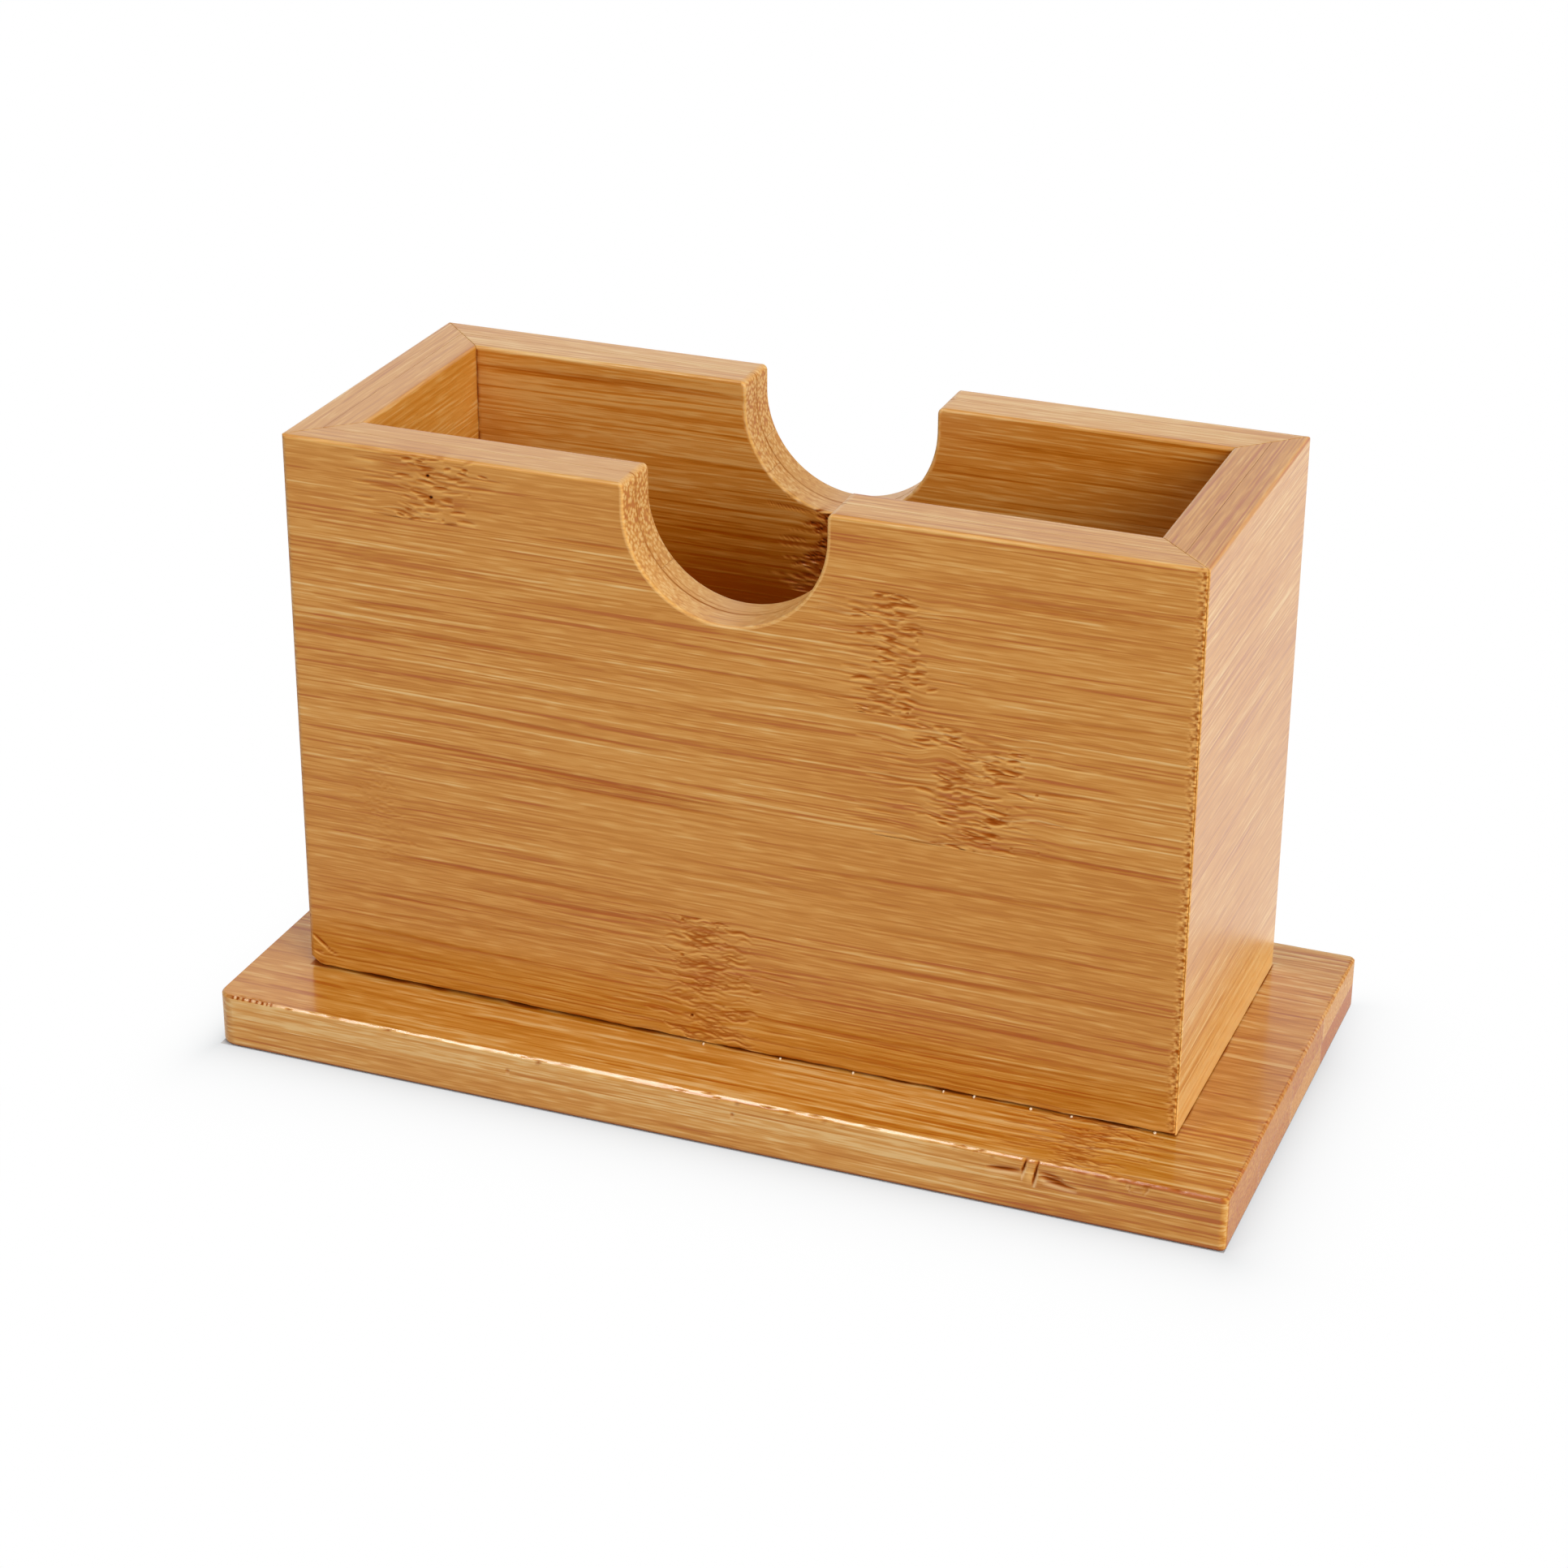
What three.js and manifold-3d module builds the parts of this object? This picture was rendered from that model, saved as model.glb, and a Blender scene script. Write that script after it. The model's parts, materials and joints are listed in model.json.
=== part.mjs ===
// Napkin box of laminated bamboo: four mitred boards glued up into an open-topped box, which stands on a
// base board that is wider than the box on every side. A round-bottomed finger notch is cut through the
// front and the back board. Every board is two plies of bamboo strips glued edge to edge, and each strip is
// a piece of its own here.
// Millimetres, +X to the right along the front, +Y to the back, +Z up. The origin is the centre of the
// base's underside.

import * as THREE from "three";
import { mergeVertices } from "three/addons/utils/BufferGeometryUtils.js";
import Module from "manifold-3d";

// Box, outside
const boxLength = 150;
const boxWidth = 60;
const wallHeight = 94;
const wallOuterPly = 5;
const wallInnerPly = 5;

// Base: how far it stands out from each side of the box, and its two plies
const ledgeFront = 14.8;
const ledgeBack = 8.2;
const ledgeLeft = 9.7;
const ledgeRight = 12.3;
const baseUpperPly = 4.7;
const baseLowerPly = 4.7;

// Finger notch: a half circle under short straight sides
const notchRadius = 16.5;
const notchSide = 4.1;

// Eased edges. A corner's radius is its eased edge and a little more, so that the easing can go round it.
const rimEdge = 1.2;
const mouthEase = 0.5;
const baseEdge = 1;
const baseCornerEase = 0.8;

// Strips: every board's seams lie one strip apart, counted from a wall's rim or the base's front edge.
// The first strip of each ply is ripped to a width of its own.
const stripWidth = 20.2;
const wallOuterRimStrip = 11;
const wallInnerRimStrip = 15;
const baseUpperFrontStrip = 20;
const baseLowerFrontStrip = 19.4;

// Glue lines
const mitreGlue = 0.15;
const seatGlue = 0.2;

// Facets of the curves
const notchSegments = 10; // in each quarter of the half circle
const cornerSegments = 3; // in half of a base corner
const edgeSegments = 3;

// Sizes that follow from those above
const wallThickness = wallOuterPly + wallInnerPly;
const baseThickness = baseLowerPly + baseUpperPly;
const baseLength = ledgeLeft + boxLength + ledgeRight;
const baseWidth = ledgeFront + boxWidth + ledgeBack;
const boxCentreX = (ledgeLeft - ledgeRight) / 2;
const boxCentreY = (ledgeFront - ledgeBack) / 2;
const notchCentre = wallHeight - notchSide;
const leastStrip = stripWidth / 4; // a narrower remainder stays on the strip beside it
const cutterMargin = 2 * rimEdge; // cutting solids reach past what they cut, and past its eased edge

const bambooTones = [0xc98f52, 0xd29a5e, 0xbf8449];

const wasm = await Module();
wasm.setup();

// Solids and meshes

function toSolid(geometry) {
  const bare = geometry.index ? geometry.toNonIndexed() : geometry.clone();
  bare.deleteAttribute("normal");
  bare.deleteAttribute("uv");
  const merged = mergeVertices(bare);
  const vertProperties = new Float32Array(merged.attributes.position.array);
  const triVerts = new Uint32Array(merged.index.array);
  return new wasm.Manifold(new wasm.Mesh({ numProp: 3, vertProperties, triVerts }));
}

function toGeometry(solid) {
  const made = solid.getMesh();
  const geometry = new THREE.BufferGeometry();
  geometry.setAttribute("position", new THREE.BufferAttribute(made.vertProperties, made.numProp));
  geometry.setIndex(new THREE.BufferAttribute(made.triVerts, 1));
  geometry.computeVertexNormals();
  return geometry;
}

function stripMesh(name, solid, tone) {
  const color = bambooTones[tone % bambooTones.length];
  const material = new THREE.MeshStandardMaterial({ color, roughness: 0.42, metalness: 0 });
  const mesh = new THREE.Mesh(toGeometry(solid), material);
  mesh.name = name;
  return mesh;
}

function blockBetween(low, high) {
  const size = new THREE.Vector3().subVectors(high, low);
  const middle = new THREE.Vector3().addVectors(high, low).multiplyScalar(0.5);
  const block = new THREE.BoxGeometry(size.x, size.y, size.z);
  return toSolid(block.translate(middle.x, middle.y, middle.z));
}

// A plate with both faces' edges eased, lying on its outline's plane and rising by its thickness.
function easedPlate(outline, thickness, edge, curveSegments) {
  const plate = new THREE.ExtrudeGeometry(outline, {
    depth: thickness - 2 * edge,
    bevelThickness: edge,
    bevelSize: edge,
    bevelOffset: -edge,
    bevelSegments: edgeSegments,
    curveSegments,
  });
  return plate.translate(0, 0, edge);
}

// Places of the seams across a ply, with its two edges.
function stripEdges(extent, firstStrip) {
  const edges = [0];
  for (let seam = firstStrip; seam < extent - leastStrip; seam += stripWidth) {
    edges.push(seam);
  }
  edges.push(extent);
  return edges;
}

// Walls: each is shaped as the front one is, with its outside towards -Y, and then turned to its side

// The face of a wall, wider and deeper than the finished wall on the edges that are trimmed afterwards.
function wallOutline(length, notched) {
  const side = length / 2 + cutterMargin;
  const mouth = rimEdge + mouthEase;
  const outline = new THREE.Shape();
  outline.moveTo(-side, -cutterMargin);
  outline.lineTo(side, -cutterMargin);
  outline.lineTo(side, wallHeight);
  if (notched) {
    outline.absarc(notchRadius + mouth, wallHeight - mouth, mouth, Math.PI / 2, Math.PI, false);
    outline.absarc(0, notchCentre, notchRadius, 0, Math.PI, true);
    outline.absarc(-notchRadius - mouth, wallHeight - mouth, mouth, 0, Math.PI / 2, false);
  }
  outline.lineTo(-side, wallHeight);
  return outline;
}

// The space between the two mitres and above the base, with the glue line left free on each mitre.
function mitreSpace(length, reach) {
  const outside = reach + cutterMargin;
  const inside = reach - wallThickness - cutterMargin;
  const shift = length / 2 - reach - mitreGlue;
  const plan = new THREE.Shape();
  plan.moveTo(-outside - shift, -outside);
  plan.lineTo(outside + shift, -outside);
  plan.lineTo(inside + shift, -inside);
  plan.lineTo(-inside - shift, -inside);
  const depth = wallHeight + cutterMargin;
  return toSolid(new THREE.ExtrudeGeometry(plan, { depth, bevelEnabled: false }));
}

function wallBlank(length, reach, notched) {
  const plate = easedPlate(wallOutline(length, notched), wallThickness, rimEdge, notchSegments);
  const right = new THREE.Vector3(1, 0, 0);
  const up = new THREE.Vector3(0, 0, 1);
  const outward = new THREE.Vector3(0, -1, 0);
  plate.applyMatrix4(new THREE.Matrix4().makeBasis(right, up, outward));
  plate.translate(0, wallThickness - reach, 0);
  return toSolid(plate).intersect(mitreSpace(length, reach));
}

// A wall's strips, from the rim down. A strip that the notch cuts in two gives a left and a right piece, as
// seen from the front of the box.
function wallBoard(name, length, reach, turn, notched) {
  const board = new THREE.Group();
  board.name = name;
  board.rotation.z = turn;
  const blank = wallBlank(length, reach, notched);
  const seamDepth = wallOuterPly - reach;
  const plies = [
    { ply: "outer", near: -reach, far: seamDepth, firstStrip: wallOuterRimStrip },
    { ply: "inner", near: seamDepth, far: wallThickness - reach, firstStrip: wallInnerRimStrip },
  ];
  plies.forEach(({ ply, near, far, firstStrip }, plyIndex) => {
    const edges = stripEdges(wallHeight, firstStrip);
    edges.slice(1).forEach((lowerEdge, index) => {
      const low = new THREE.Vector3(-length, near, wallHeight - lowerEdge);
      const high = new THREE.Vector3(length, far, wallHeight - edges[index]);
      const strip = index === 0 ? "rim_strip" : `strip_${index}`;
      const pieces = blank.intersect(blockBetween(low, high)).decompose();
      pieces.forEach((piece) => {
        const bounds = piece.boundingBox();
        const middle = (bounds.min[0] + bounds.max[0]) * Math.cos(turn);
        const side = middle < 0 ? "_left" : "_right";
        const ending = pieces.length > 1 ? side : "";
        const label = `${name}_${ply}_${strip}${ending}`;
        board.add(stripMesh(label, piece, index + plyIndex));
      });
    });
  });
  return board;
}

// Base: a plate with rounded corners, its strips running along X

function baseOutline() {
  const corner = baseEdge + baseCornerEase;
  const side = baseLength / 2 - corner;
  const end = baseWidth / 2 - corner;
  const outline = new THREE.Shape();
  outline.absarc(side, -end, corner, -Math.PI / 2, 0, false);
  outline.absarc(side, end, corner, 0, Math.PI / 2, false);
  outline.absarc(-side, end, corner, Math.PI / 2, Math.PI, false);
  outline.absarc(-side, -end, corner, Math.PI, 1.5 * Math.PI, false);
  return outline;
}

function baseBoard() {
  const board = new THREE.Group();
  board.name = "base_board";
  const blank = toSolid(easedPlate(baseOutline(), baseThickness, baseEdge, cornerSegments));
  const plies = [
    { ply: "lower", bottom: 0, top: baseLowerPly, firstStrip: baseLowerFrontStrip },
    { ply: "upper", bottom: baseLowerPly, top: baseThickness, firstStrip: baseUpperFrontStrip },
  ];
  plies.forEach(({ ply, bottom, top, firstStrip }, plyIndex) => {
    const edges = stripEdges(baseWidth, firstStrip);
    edges.slice(1).forEach((back, index) => {
      const low = new THREE.Vector3(-baseLength, edges[index] - baseWidth / 2, bottom);
      const high = new THREE.Vector3(baseLength, back - baseWidth / 2, top);
      const piece = blank.intersect(blockBetween(low, high));
      board.add(stripMesh(`base_${ply}_strip_${index + 1}`, piece, index + plyIndex));
    });
  });
  return board;
}

// Assembly

const box = new THREE.Group();
box.name = "box";
box.position.set(boxCentreX, boxCentreY, baseThickness + seatGlue);
box.add(wallBoard("front", boxLength, boxWidth / 2, 0, true));
box.add(wallBoard("back", boxLength, boxWidth / 2, Math.PI, true));
box.add(wallBoard("right_end", boxWidth, boxLength / 2, Math.PI / 2, false));
box.add(wallBoard("left_end", boxWidth, boxLength / 2, -Math.PI / 2, false));

const napkinBox = new THREE.Group();
napkinBox.name = "napkin_box";
napkinBox.add(baseBoard());
napkinBox.add(box);

export default napkinBox;
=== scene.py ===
"""A napkin box of laminated bamboo, built strip by strip, on a pale studio floor.

Lengths are in millimetres until a mesh is made, and then in metres, on the frame's own axes.
"""

import json
import math
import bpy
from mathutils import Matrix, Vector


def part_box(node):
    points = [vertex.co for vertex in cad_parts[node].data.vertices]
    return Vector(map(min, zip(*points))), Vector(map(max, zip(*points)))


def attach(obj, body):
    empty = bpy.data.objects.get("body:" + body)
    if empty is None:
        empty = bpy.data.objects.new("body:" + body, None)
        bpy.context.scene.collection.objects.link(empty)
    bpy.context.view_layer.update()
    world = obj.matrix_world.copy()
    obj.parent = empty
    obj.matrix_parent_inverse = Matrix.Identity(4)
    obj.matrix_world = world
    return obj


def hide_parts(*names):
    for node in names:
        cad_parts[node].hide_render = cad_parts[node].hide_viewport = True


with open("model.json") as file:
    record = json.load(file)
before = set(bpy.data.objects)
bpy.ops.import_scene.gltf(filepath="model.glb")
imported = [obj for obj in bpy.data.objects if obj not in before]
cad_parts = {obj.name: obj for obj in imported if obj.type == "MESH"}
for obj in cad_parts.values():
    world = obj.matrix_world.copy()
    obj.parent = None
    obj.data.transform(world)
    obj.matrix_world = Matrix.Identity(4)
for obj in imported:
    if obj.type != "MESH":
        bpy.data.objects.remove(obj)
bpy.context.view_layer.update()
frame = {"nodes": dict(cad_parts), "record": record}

from types import SimpleNamespace

import bpy
import numpy as np
from mathutils import Matrix, Vector

MM = 0.001

# Edges and openings the boards are shaped to
RIM_ROUND = 0.6
CORNER_ROUND = (1.1, 0.5)  # upright corners at the left and at the right
NOTCH_RADIUS = 16.5
NOTCH_SIDE = 4.1  # straight sides above the half circle
NOTCH_ROUND = 0.45
MOUTH_ROUND = 1.0
BASE_ROUND = 0.55  # upper edge, at its widest
BASE_FLAT = 1.02  # power of that edge: nearly a plain flat
BASE_FOOT_ROUND = 0.8
BASE_CORNERS = (3.0, 1.0)  # at the left and at the right
TURN = np.radians(np.arange(0, 91, 10))  # steps round an eased edge

# Gaps that show as lines
MITRE_LINE = 0.05
WALL_PLY_LINE = 0.03
BASE_PLY_LINE = 0.01

# Marks in the wood
GROOVE_DEPTH = 0.15  # of a groove whose depth is given as 1
LIP_HEIGHT = 0.06  # of the wood pushed up beside such a groove
CRACK_DEPTH = 0.2  # of such a crack in the base's edge
FACE_FADE = 0.6  # how deep a mark on the face has faded to a third
KNUCKLE_REACH = 2.2  # how many spreads from its middle a knuckle's fine grid goes
NOTCH_BEADS = 0.55  # from one fibre end to the next along the notch
BASE_BEADS = 1.1  # the same along the base's right edge
DASHES = 0.95  # the same along the left of the base's front edge
DASHED_LENGTH = 11  # how far from the left those dashes go
SAW_LINE = 1.25  # from the glue line in the notch to the line that a saw left
PAINTED_BOUNCE_HEIGHT = 18  # height of the painted light at the right end's foot

# Where the strips lie, from the frame
NODES = sorted(frame["nodes"])
BASE_NODES = [node for node in NODES if node.startswith("base")]
SLOTS = {part["node"]: part["material_slot"] for part in frame["record"]["subparts"]}


def put_in_scene(name, data):
    """A new object of a mesh, light or camera."""
    made = bpy.data.objects.new(name, data)
    bpy.context.scene.collection.objects.link(made)
    return made


def span_of(nodes):
    """Lowest and highest corner, in mm, of the box round these nodes."""
    corners = np.array([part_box(name) for name in nodes]) / MM
    return corners[:, 0].min(0), corners[:, 1].max(0)


wall_low, wall_high = span_of([node for node in NODES if node not in BASE_NODES])
base_low, base_high = span_of(BASE_NODES)
box_middle = (wall_low + wall_high) / 2
box_size = wall_high - wall_low
base_middle = (base_low + base_high) / 2
base_half = (base_high - base_low) / 2
wall_height = box_size[2]
board_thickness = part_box("front_inner_strip_4")[1][1] / MM - wall_low[1]
notch_middle = wall_height - NOTCH_SIDE

# Each wall: middle of its outside, direction along the grain, direction into the wood, length
WALLS = {
    "front": ((box_middle[0], wall_low[1]), (1, 0), (0, 1), box_size[0]),
    "back": ((box_middle[0], wall_high[1]), (-1, 0), (0, -1), box_size[0]),
    "right_end": ((wall_high[0], box_middle[1]), (0, 1), (-1, 0), box_size[1]),
    "left_end": ((wall_low[0], box_middle[1]), (0, -1), (1, 0), box_size[1]),
}

# Bamboo knuckles by strip: how far along the board from its middle, how far the grooves spread to each
# side, their half length, their depth and how much they wave
KNUCKLES = {
    "front_outer_rim_strip_left": (-49.3, 6.0, 1.4, 1.0, 0.05),
    "front_outer_strip_1": (27.4, 5.0, 1.4, 1.05, 0.1),
    "front_outer_strip_2": (39.9, 8.2, 1.8, 1.1, 0.1),
    "front_outer_strip_3": (-60.5, 4.0, 1.0, 0.3, 0.05),
    "front_outer_strip_4": (-3.2, 7.0, 2.6, 0.9, 0.22),
    "back_inner_strip_1": (1.5, 4.0, 1.5, 1.6, 0.1),
    "back_outer_rim_strip_right": (-38.0, 4.4, 1.4, 0.9, 0.05),
    "back_outer_strip_2": (21.0, 5.0, 1.8, 1.0, 0.1),
    "back_outer_strip_3": (-46.0, 4.5, 1.6, 0.8, 0.1),
    "left_end_outer_strip_1": (-9.0, 4.4, 1.4, 0.9, 0.08),
    "left_end_outer_strip_4": (14.0, 5.0, 2.0, 0.8, 0.15),
    "base_upper_strip_1": (61.4, 7.0, 2.6, 1.0, 0.22),
    "base_lower_strip_2": (-20.0, 5.0, 2.0, 0.8, 0.1),
}

# Pin holes in the knuckles and cracks over the chipped corner: along the board from its middle, height
# above the wall's foot, half length, half thickness, slope and depth
PITS = {
    "front_outer_rim_strip_left": [(-49.4, 90.6, 0.34, 0.27, 0, 2.2), (-49.0, 87.1, 0.34, 0.27, 0, 2.2)],
    "front_outer_strip_4": [
        (-7.2, 21.6, 0.34, 0.27, 0, 1.0), (-7.3, 15.2, 0.34, 0.27, 0, 1.0), (-5.7, 4.5, 0.34, 0.27, 0, 1.7),
        (-72.6, 4.7, 1.7, 0.3, -0.8, 1.3), (-70.6, 3.0, 1.2, 0.2, -0.5, 1.0),
        (-73.2, 2.4, 1.0, 0.25, 0.3, 0.8),
    ],
}

# Dark streaks on the front and under the back's rim, in the same order, with their strength last
STREAKS = {
    "back_inner_rim_strip_left": [(40, 90.8, 27, 0.8, 0, 0.9), (30, 86.0, 20, 0.3, 0.01, 0.3)],
    "front_outer_rim_strip_left": [
        (-22, 83.4, 9, 0.3, 0, 1.0), (-53, 91.6, 6, 0.6, 0, 0.8), (-55, 88.2, 6, 0.5, 0.01, 0.7),
        (-43, 86.2, 7, 0.4, 0, 0.6),
    ],
    "front_outer_rim_strip_right": [(56, 84.2, 16, 0.55, 0, 0.9), (40, 85.8, 12, 0.25, 0.01, 0.6)],
    "front_outer_strip_1": [
        (-57, 67.6, 9, 0.35, 0.05, 0.8), (-45, 63.6, 30, 0.35, 0.01, 0.8), (55, 66.4, 21, 0.25, 0.05, 0.6),
        (-20, 78.5, 14, 0.25, 0.02, 0.5), (5, 65.2, 24, 0.3, -0.01, 0.7),
    ],
    "front_outer_strip_2": [
        (-66, 62.1, 10, 0.4, 0, 0.9), (-38, 51.2, 27, 0.22, -0.03, 0.9),
        (-30, 43.6, 34, 0.5, -0.04, 1.0), (52, 43.7, 22, 0.45, 0, 1.0),
        (12, 53.5, 20, 0.25, 0.02, 0.5), (-20, 57.2, 18, 0.3, 0, 0.5),
    ],
    "front_outer_strip_3": [
        (-18, 41.2, 28, 0.35, -0.01, 1.0), (38, 35.2, 36, 0.35, 0.03, 0.7), (10, 30.5, 30, 0.25, 0.02, 0.6),
        (-33, 23.4, 38, 0.35, 0, 0.8), (46, 26.5, 26, 0.35, 0.01, 0.7),
    ],
    "front_outer_strip_4": [
        (-21, 20.1, 26, 0.3, 0, 0.8), (46, 19.8, 30, 0.4, 0.02, 0.8), (-45, 13.0, 30, 0.3, 0.05, 0.6),
        (40, 12.0, 28, 0.3, 0.02, 0.6), (30, 6.5, 36, 0.45, 0.01, 0.7), (-52, 8.6, 20, 0.35, -0.01, 0.9),
        (-36, 17.0, 24, 0.25, 0, 0.8), (-60, 5.0, 13, 0.3, 0, 0.8), (-58, 15.6, 14, 0.25, 0.01, 0.8),
    ],
}

# Cracks and pin holes in the base's front edge, in the same order, with heights from the floor. The steep
# ones run down from the edge at its knot.
EDGE_CRACKS = [
    (54.0, 8.2, 0.5, 0.65, 2.6, 1.6), (55.8, 7.3, 0.55, 0.95, 4.0, 1.6), (50.8, 7.0, 3.1, 0.32, 0.08, 1.4),
    (58.6, 6.7, 2.2, 0.34, -0.14, 1.4), (58.4, 7.4, 2.0, 0.24, -0.16, 1.2),
    (59.8, 6.1, 2.8, 0.28, -0.08, 1.3),
    (70.5, 8.4, 0.5, 0.25, -1.3, 0.7), (72.0, 8.0, 0.9, 0.18, 0.05, 0.6), (73.5, 8.4, 0.5, 0.25, 1.3, 0.7),
    (5.9, 6.6, 0.4, 0.3, 0, 0.8), (-33.0, 6.2, 0.4, 0.3, 0, 0.7), (65.0, 6.7, 2.4, 0.18, 0.02, 0.6),
]
KNOT = (54.9, 6.8)  # its golden core, along and up
CRACK_SPOTS = [(55, 8), (72, 4), (6, 2), (-33, 2)]  # where these lie along the edge, and their reach

# Lighter (above 0) and darker strips
TONES = {
    "back_inner_rim_strip_left": 0.38,
    "back_inner_rim_strip_right": 0.16,
    "back_inner_strip_1": 0.25,
    "back_inner_strip_2": 0.1,
    "front_outer_strip_3": -0.04,
    "front_outer_strip_4": -0.07,
    "right_end_outer_rim_strip": 0.08,
    "right_end_outer_strip_1": 0.05,
    "right_end_outer_strip_3": 0.05,
    "right_end_outer_strip_4": 0.1,
    "base_upper_strip_1": 0.09,
    "base_upper_strip_2": 0.07,
    "base_upper_strip_3": 0.09,
    "base_upper_strip_4": 0.14,
    "base_lower_strip_1": 0.02,
}

# How far the base strips' sawn ends differ from that: the lower ply from front to back, then the upper
END_TONES = dict(zip(BASE_NODES, (-0.5, -0.45, -0.2, -0.65, -0.5, -0.45, -0.55, -0.25)))

# Tones of the rims' tops and the notch's cut, and how much painted shade reddens the inside
RIM_TONES = {"front": 0.12, "back": 0.25, "right_end": -0.09, "left_end": 0.09}
NOTCH_TONE = 0.12
INSIDE_SHADE = {"front": 0.9, "back": 0.9, "right_end": 0.9, "left_end": 0.35}

FOOT_SEAM = 2.2  # height of the seam between the front's lowest strip and its narrow remainder
CHIP = 1.6  # height of the chip in the front's lower left corner
GLUE_SPECKS = (-4.8, 8.4, 20.8, 36.0, 41.0, 50.4, 57.0, 70.4)  # places along X at the front's foot


def ease(depth, radius, power=2):
    """How far an eased edge steps back at a depth under the face. Its curve is a**p + b**p = radius**p.

    Power 2 is a quarter circle, and near 1 the edge is a narrow flat with soft borders.
    """
    below = np.clip(radius - depth, 0, radius)
    return radius - (radius**power - below**power) ** (1 / power)


def bell(distance, width):
    """A bell curve: 1 at no distance, falling to a third at the width."""
    return np.exp(-((distance / width) ** 2))


def slope(value, start, stop):
    """0 at the start, 1 at the stop and straight between them, whichever of the two is higher."""
    return np.clip((value - start) / (stop - start), 0, 1)


def ripple(along, across, seed, count=6):
    """Unevenness, mostly between -1 and 1: a sum of sine waves with seeded turns, paces and starts."""
    rng = np.random.default_rng(seed)
    turn = rng.uniform(0, 2 * np.pi, count)
    pace = rng.uniform(0.6, 1.8, count)
    start = rng.uniform(0, 2 * np.pi, count)
    waves = np.multiply.outer(along, pace * np.cos(turn)) + np.multiply.outer(across, pace * np.sin(turn))
    return np.sin(waves + start).sum(-1) / np.sqrt(count)


def graded_lines(low, high, coarse, fine, spots):
    """Grid lines from low to high, a fine step apart round each (place, reach) spot and coarse elsewhere.

    The line number is the running sum of 1 / step, and the lines are where it is whole.
    """
    places = np.linspace(low, high, 6000)
    step = np.full_like(places, coarse)
    for place, reach in spots:
        away = slope(np.abs(places - place), reach, reach + 3 * coarse)
        step = np.minimum(step, fine + (coarse - fine) * away)
    density = (1 / step[1:] + 1 / step[:-1]) / 2
    number = np.concatenate([[0], np.cumsum(np.diff(places) * density)])
    wanted = np.linspace(0, number[-1], int(np.ceil(number[-1])) + 1)
    return np.interp(wanted, number, places)


def ply_lines(near, far, whole, radius, line):
    """Depths of the grid lines through one ply of a board: close on its eased face and at its glue line.

    An inner ply also has close lines at the saw line past the glue.
    """
    curve = radius * (1 - np.cos(TURN))
    if near < far / 4:
        glue = far - line
        return np.concatenate([curve, np.linspace(radius, glue - 0.3, 4)[1:], [glue]])
    glue = near + line
    saw = np.linspace(glue + 0.9, glue + 1.5, 5)
    return np.concatenate([[glue, glue + 0.3], saw, [whole - radius - 1], (whole - curve)[::-1]])


def lattice_skin(ni, nj, nk):
    """The outside of a block of lattice points: each surface point's (i, j, k) and the outward quads.

    A side is a sheet of points. Its quads go one step along its first axis and then along its second, and
    the sheets are taken in the order of axes that turns them outwards.
    """
    ids = np.arange(ni * nj * nk).reshape(ni, nj, nk)
    sheets = [ids[0].T, ids[-1], ids[:, 0], ids[:, -1].T, ids[:, :, 0].T, ids[:, :, -1]]
    quads = [
        np.stack([s[:-1, :-1], s[1:, :-1], s[1:, 1:], s[:-1, 1:]], -1).reshape(-1, 4) for s in sheets
    ]
    used, quads = np.unique(np.concatenate(quads), return_inverse=True)
    return (*np.unravel_index(used, ids.shape), quads.reshape(-1, 4))


def notch_reach(height, step):
    """Half the finger notch's width at a height: a half circle, straight sides and a rounded mouth.

    step is how far a worn edge has taken the cut back.
    """
    radius = NOTCH_RADIUS + step
    circle = np.sqrt(np.clip(radius**2 - (notch_middle - height) ** 2, 0, None))
    lip = MOUTH_ROUND - step
    rise = np.clip(height - (wall_height - MOUTH_ROUND), 0, lip)
    mouth = NOTCH_RADIUS + MOUTH_ROUND - np.sqrt(lip**2 - rise**2)
    return np.where(height > notch_middle, mouth, circle)


# Marks in the bamboo


def lens_grooves(along, across, grooves):
    """Depth of the deepest of many lens-shaped grooves at each point, and height of the lip below it.

    grooves holds rows of middle along, middle across, half length, half thickness, slant, depth and wave. A
    groove is a bell across the grain. It narrows to nothing at both ends as the square root of
    1 - (along / half length)**2, and its middle line leans by the slant and waves.
    """
    deep, lip = np.zeros_like(along), np.zeros_like(along)
    if not len(grooves):
        return deep, lip
    middle, row, half, thick, slant, depth, wave = np.array(grooves, dtype=float).T
    span = 1 + np.abs(slant * half).max()
    near = np.flatnonzero(
        (along > (middle - half).min()) & (along < (middle + half).max())
        & (across > row.min() - span) & (across < row.max() + span)
    )
    du = along[near, None] - middle
    dt = across[near, None] - row - slant * du - wave * np.sin(1.6 * du + 9 * row)
    taper = np.sqrt(np.clip(1 - (du / half) ** 2, 0, 1))
    if len(near):
        deep[near] = (depth * taper * bell(dt, thick * taper + 0.01)).max(1)
        lip[near] = (depth * taper * bell(dt + 1.9 * thick, 0.9 * thick)).max(1)
    return deep, lip


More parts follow.
